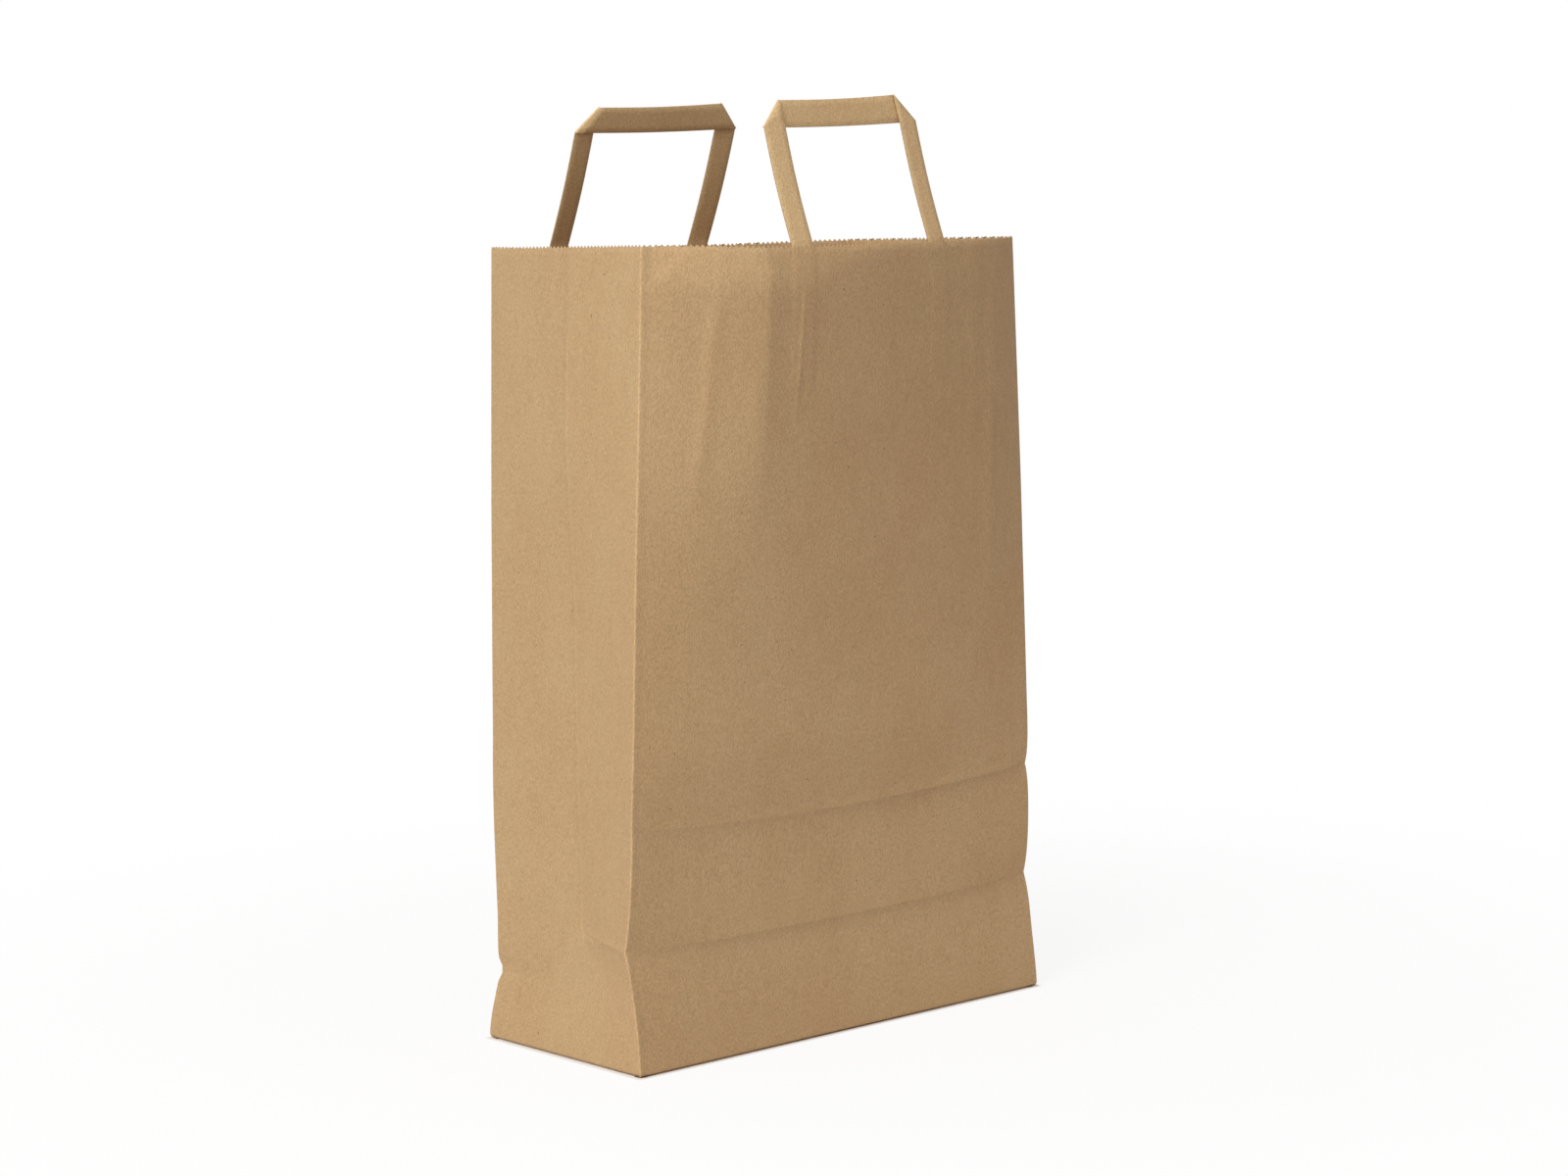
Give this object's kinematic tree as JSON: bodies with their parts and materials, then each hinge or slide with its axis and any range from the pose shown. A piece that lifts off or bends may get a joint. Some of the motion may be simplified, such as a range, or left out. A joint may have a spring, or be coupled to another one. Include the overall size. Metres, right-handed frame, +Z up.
{
  "type": "paper carrier bag",
  "caption": "Open block-bottomed kraft paper carrier bag with gusseted narrow sides, a toothed cut edge and flat folded-tape handles.",
  "frame": {"origin": "on the ground under the middle of the bag's rectangular base", "axes": "+Z up towards the mouth, X along the wide walls, Y across the narrow sides, with the creased front wall facing -Y"},
  "size_m": [0.2622, 0.1805, 0.4523],
  "materials": {
    "kraft_paper": "matte brown kraft paper",
    "kraft_tape": "matte brown kraft paper, folded flat",
    "kraft_patch": "matte brown kraft paper"
  },
  "bodies": {
    "root": {"bag": "kraft_paper", "handle_front": "kraft_tape", "handle_back": "kraft_tape", "patch_front": "kraft_patch", "patch_back": "kraft_patch"}
  },
  "joints": []
}
